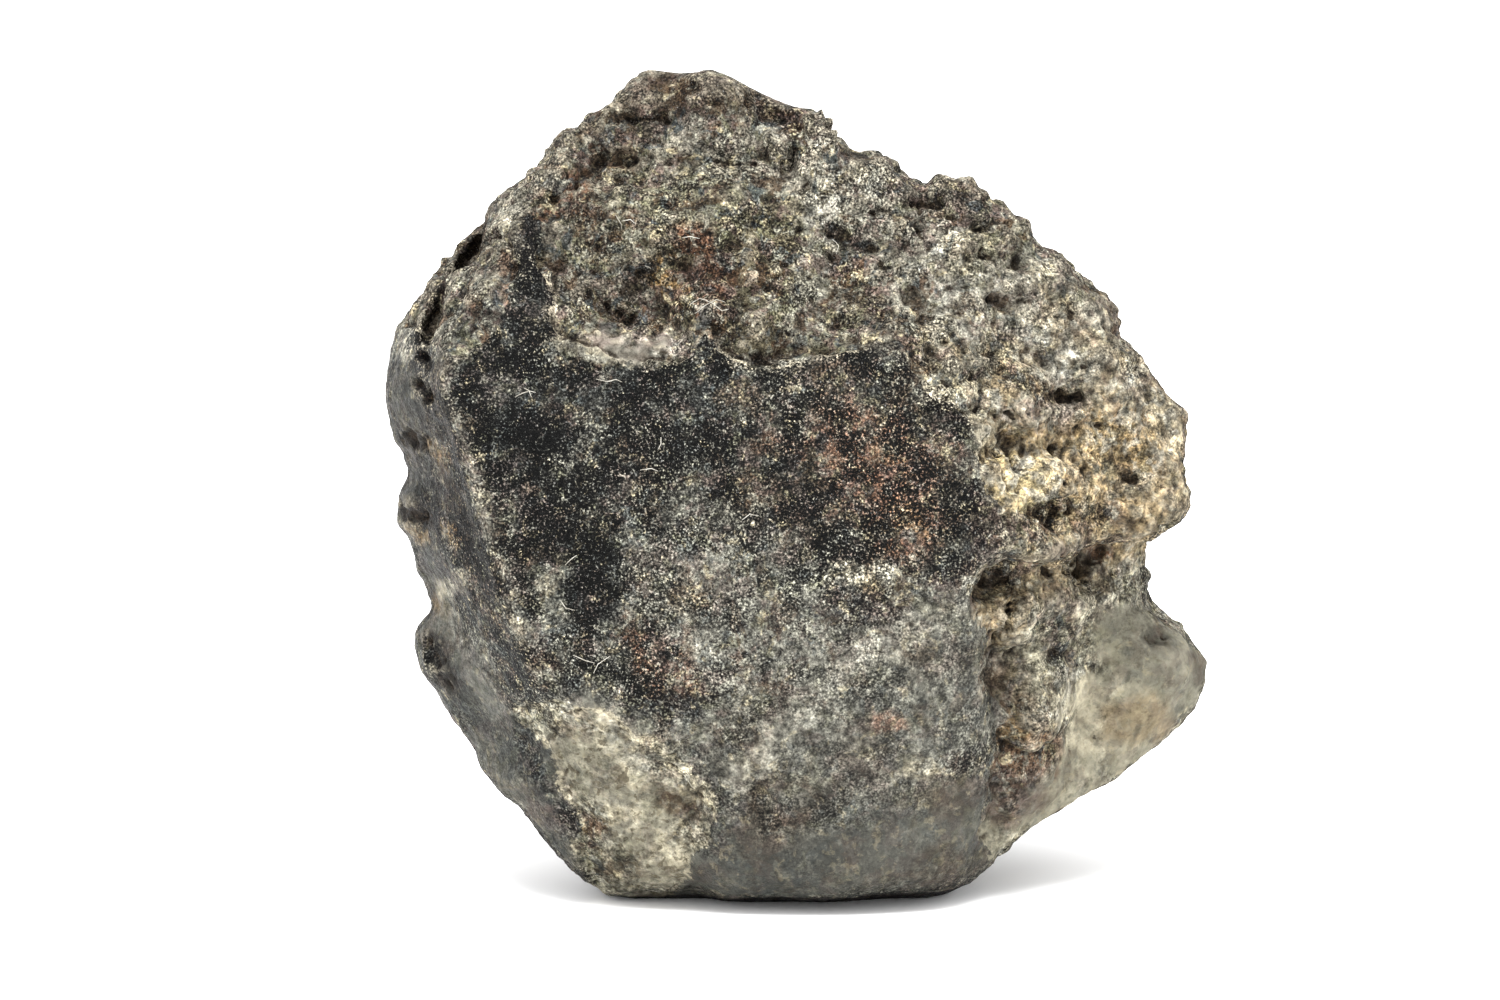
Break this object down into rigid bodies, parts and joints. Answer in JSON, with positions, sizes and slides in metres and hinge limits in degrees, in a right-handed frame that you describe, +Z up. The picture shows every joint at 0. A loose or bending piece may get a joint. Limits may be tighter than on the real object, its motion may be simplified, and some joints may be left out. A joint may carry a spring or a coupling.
{
  "type": "chondrite meteorite",
  "caption": "Small natural stone with a dark crusted face, a rough broken top and cheek, a notch and a lobe on the right, resting on a flat spot.",
  "frame": {"origin": "in the flat spot that the stone rests on, below its middle", "axes": "+Z up; -Y out of the broad crusted face; +X towards the broken cheek and the lobe"},
  "size_m": [0.0331, 0.0225, 0.0328],
  "materials": {
    "stone": "matte"
  },
  "bodies": {
    "root": {"chondrite_stone": "stone"}
  },
  "joints": []
}
